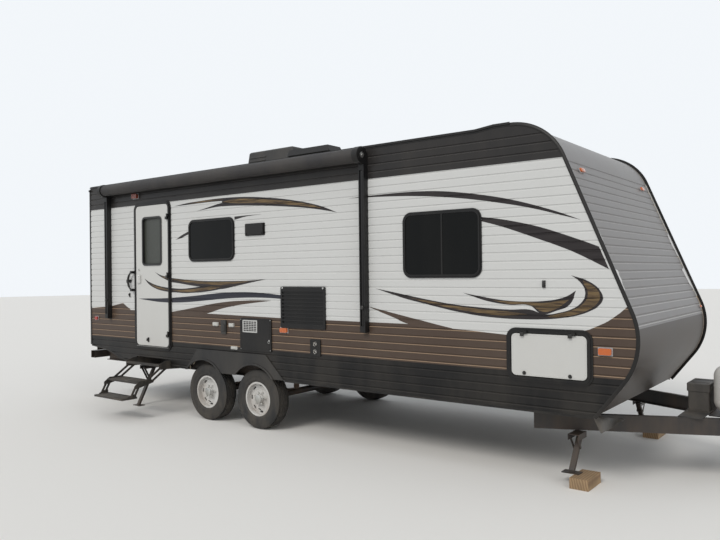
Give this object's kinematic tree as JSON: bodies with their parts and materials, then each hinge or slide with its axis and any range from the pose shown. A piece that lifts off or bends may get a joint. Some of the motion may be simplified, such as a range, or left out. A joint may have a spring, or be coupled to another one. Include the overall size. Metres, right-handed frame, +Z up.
{
  "type": "travel trailer caravan",
  "caption": "Bumper-pull travel trailer with a raked nose, tandem axles, rolled awning, swinging entry door, folding steps, baggage doors, stabilizers and an A-frame tongue on its jack.",
  "frame": {"origin": "centre of the tow ball seated in the coupler, 455 mm above the ground", "axes": "+X forward towards the tow vehicle, +Y to the road side, +Z up; the curb side with the door is at -Y"},
  "size_m": [9.054, 3.138, 3.4],
  "materials": {
    "siding": "satin",
    "front_siding": "gloss",
    "roof_membrane": "matte",
    "floor_board": "matte",
    "frame_black": "satin",
    "underbelly_sheet": "matte",
    "spring_steel": "satin",
    "fender_plastic": "satin",
    "trim_black": "satin",
    "tinted_glass": "gloss",
    "frosted_glass": "matte",
    "door_white": "satin",
    "vent_plastic": "matte",
    "fitting_black": "matte",
    "lamp_lens": "gloss",
    "awning_fabric": "matte",
    "shroud_black": "satin",
    "bottle_white": "gloss",
    "battery_plastic": "matte",
    "jack_black": "satin",
    "jack_steel": "zinc plated",
    "block_wood": "rough sawn",
    "step_black": "satin",
    "tyre": "matte",
    "rim_paint": "satin"
  },
  "bodies": {
    "trailer": {"curb_side_wall": "siding", "road_side_wall": "siding", "roof": "roof_membrane", "front_wall": "front_siding", "rear_wall": "siding", "floor": "floor_board", "chassis_frame": "frame_black", "underbelly": "underbelly_sheet", "bumper": "frame_black", "coupler": "frame_black", "axles": "frame_black", "leaf_springs": "spring_steel", "fender_skirts": "fender_plastic", "window_frames": "trim_black", "window_glass": "tinted_glass", "door_frames": "trim_black", "wall_vents": "vent_plastic", "water_heater_door": "vent_plastic", "service_inlets": "fitting_black", "lamps": "lamp_lens", "grab_handle": "trim_black", "awning_roller": "awning_fabric", "awning_arms": "trim_black", "air_conditioner": "shroud_black", "roof_vents": "shroud_black", "gas_bottles": "bottle_white", "gas_bottle_rack": "frame_black", "battery_box": "battery_plastic", "tongue_jack": "jack_black", "stabilizer_mounts": "frame_black", "jack_pads": "block_wood", "step_base": "step_black"},
    "wheel_curb_front": {"tyre_curb_front": "tyre", "rim_curb_front": "rim_paint"},
    "wheel_curb_rear": {"tyre_curb_rear": "tyre", "rim_curb_rear": "rim_paint"},
    "wheel_road_front": {"tyre_road_front": "tyre", "rim_road_front": "rim_paint"},
    "wheel_road_rear": {"tyre_road_rear": "tyre", "rim_road_rear": "rim_paint"},
    "entry_door": {"entry_door": "door_white", "entry_door_glass": "frosted_glass"},
    "baggage_door_curb": {"baggage_door_curb": "siding"},
    "baggage_door_road": {"baggage_door_road": "siding"},
    "tongue_jack_leg": {"tongue_jack_leg": "jack_steel"},
    "stabilizer_brace_curb_front": {"stabilizer_brace_curb_front": "frame_black"},
    "stabilizer_leg_curb_front": {"stabilizer_leg_curb_front": "frame_black"},
    "stabilizer_brace_road_front": {"stabilizer_brace_road_front": "frame_black"},
    "stabilizer_leg_road_front": {"stabilizer_leg_road_front": "frame_black"},
    "stabilizer_brace_curb_rear": {"stabilizer_brace_curb_rear": "frame_black"},
    "stabilizer_leg_curb_rear": {"stabilizer_leg_curb_rear": "frame_black"},
    "stabilizer_brace_road_rear": {"stabilizer_brace_road_rear": "frame_black"},
    "stabilizer_leg_road_rear": {"stabilizer_leg_road_rear": "frame_black"},
    "step_upper_links": {"step_upper_links": "step_black"},
    "step_upper_guides": {"step_upper_guides": "step_black"},
    "step_upper_tread": {"step_upper_tread": "step_black"},
    "step_lower_links": {"step_lower_links": "step_black"},
    "step_lower_guides": {"step_lower_guides": "step_black"},
    "step_lower_tread": {"step_lower_tread": "step_black"}
  },
  "joints": [
    {"name": "wheel_curb_front_spin", "type": "hinge", "parent": "trailer", "child": "wheel_curb_front", "pos_m": [-5.49, -1.075, -0.111], "axis": [0, 1, 0], "continuous": true},
    {"name": "wheel_curb_rear_spin", "type": "hinge", "parent": "trailer", "child": "wheel_curb_rear", "pos_m": [-6.36, -1.075, -0.111], "axis": [0, 1, 0], "continuous": true},
    {"name": "wheel_road_front_spin", "type": "hinge", "parent": "trailer", "child": "wheel_road_front", "pos_m": [-5.49, 1.075, -0.111], "axis": [0, 1, 0], "continuous": true},
    {"name": "wheel_road_rear_spin", "type": "hinge", "parent": "trailer", "child": "wheel_road_rear", "pos_m": [-6.36, 1.075, -0.111], "axis": [0, 1, 0], "continuous": true},
    {"name": "entry_door_swing", "type": "hinge", "parent": "trailer", "child": "entry_door", "pos_m": [-7.004, -1.257, 1.317], "axis": [0, 0, 1], "range_deg": [0, 175]},
    {"name": "baggage_door_curb_lift", "type": "hinge", "parent": "trailer", "child": "baggage_door_curb", "pos_m": [-1.984, -1.246, 0.801], "axis": [-1, 0, 0], "range_deg": [0, 175]},
    {"name": "baggage_door_road_lift", "type": "hinge", "parent": "trailer", "child": "baggage_door_road", "pos_m": [-1.984, 1.246, 0.801], "axis": [1, 0, 0], "range_deg": [0, 175]},
    {"name": "tongue_jack_travel", "type": "slide", "parent": "trailer", "child": "tongue_jack_leg", "axis": [0, 0, 1], "range_m": [-0.1, 0.28]},
    {"name": "stabilizer_brace_curb_front_swing", "type": "hinge", "parent": "trailer", "child": "stabilizer_brace_curb_front", "pos_m": [-1.855, -1.006, -0.087], "axis": [1, 0, 0], "range_deg": [0, 48]},
    {"name": "stabilizer_leg_curb_front_knee", "type": "hinge", "parent": "stabilizer_brace_curb_front", "child": "stabilizer_leg_curb_front", "pos_m": [-1.855, -0.93663, -0.17905], "axis": [1, 0, 0], "range_deg": [-96, 0]},
    {"name": "stabilizer_brace_road_front_swing", "type": "hinge", "parent": "trailer", "child": "stabilizer_brace_road_front", "pos_m": [-1.855, 1.006, -0.087], "axis": [-1, 0, 0], "range_deg": [0, 48]},
    {"name": "stabilizer_leg_road_front_knee", "type": "hinge", "parent": "stabilizer_brace_road_front", "child": "stabilizer_leg_road_front", "pos_m": [-1.855, 0.93663, -0.17905], "axis": [-1, 0, 0], "range_deg": [-96, 0]},
    {"name": "stabilizer_brace_curb_rear_swing", "type": "hinge", "parent": "trailer", "child": "stabilizer_brace_curb_rear", "pos_m": [-7.89, -1, 0.053], "axis": [1, 0, 0], "range_deg": [0, 57]},
    {"name": "stabilizer_leg_curb_rear_knee", "type": "hinge", "parent": "stabilizer_brace_curb_rear", "child": "stabilizer_leg_curb_rear", "pos_m": [-7.89, -0.90716, -0.1216], "axis": [1, 0, 0], "range_deg": [-114, 0]},
    {"name": "stabilizer_brace_road_rear_swing", "type": "hinge", "parent": "trailer", "child": "stabilizer_brace_road_rear", "pos_m": [-7.89, 1, 0.053], "axis": [-1, 0, 0], "range_deg": [0, 57]},
    {"name": "stabilizer_leg_road_rear_knee", "type": "hinge", "parent": "stabilizer_brace_road_rear", "child": "stabilizer_leg_road_rear", "pos_m": [-7.89, 0.90716, -0.1216], "axis": [-1, 0, 0], "range_deg": [-114, 0]},
    {"name": "steps_fold", "type": "hinge", "parent": "trailer", "child": "step_upper_links", "pos_m": [-7.355, -1.364, 0.15], "axis": [1, 0, 0], "range_deg": [0, 127.44]},
    {"name": "step_upper_tread_level", "type": "hinge", "parent": "step_upper_links", "child": "step_upper_tread", "pos_m": [-7.355, -1.575, 0.01], "axis": [1, 0, 0], "range_deg": [-127.44, 0]},
    {"name": "step_upper_guides_swing", "type": "hinge", "parent": "trailer", "child": "step_upper_guides", "pos_m": [-7.355, -1.264, 0.15], "axis": [1, 0, 0], "range_deg": [0, 127.44]},
    {"name": "step_lower_links_swing", "type": "hinge", "parent": "step_upper_tread", "child": "step_lower_links", "pos_m": [-7.355, -1.712, -0.052], "axis": [1, 0, 0], "range_deg": [0, 106.15]},
    {"name": "step_lower_guides_swing", "type": "hinge", "parent": "step_upper_tread", "child": "step_lower_guides", "pos_m": [-7.355, -1.652, -0.032], "axis": [1, 0, 0], "range_deg": [0, 106.15]},
    {"name": "step_lower_tread_level", "type": "hinge", "parent": "step_lower_links", "child": "step_lower_tread", "pos_m": [-7.355, -1.775, -0.165], "axis": [1, 0, 0], "range_deg": [-106.15, 0]}
  ],
  "couplings": [
    {"joint": "stabilizer_leg_curb_front_knee", "follows": "stabilizer_brace_curb_front_swing", "ratio": -2},
    {"joint": "stabilizer_leg_road_front_knee", "follows": "stabilizer_brace_road_front_swing", "ratio": -2},
    {"joint": "stabilizer_leg_curb_rear_knee", "follows": "stabilizer_brace_curb_rear_swing", "ratio": -2},
    {"joint": "stabilizer_leg_road_rear_knee", "follows": "stabilizer_brace_road_rear_swing", "ratio": -2},
    {"joint": "step_upper_tread_level", "follows": "steps_fold", "ratio": -1},
    {"joint": "step_upper_guides_swing", "follows": "steps_fold", "ratio": 1},
    {"joint": "step_lower_links_swing", "follows": "steps_fold", "ratio": 0.8329},
    {"joint": "step_lower_guides_swing", "follows": "steps_fold", "ratio": 0.8329},
    {"joint": "step_lower_tread_level", "follows": "steps_fold", "ratio": -0.8329}
  ]
}
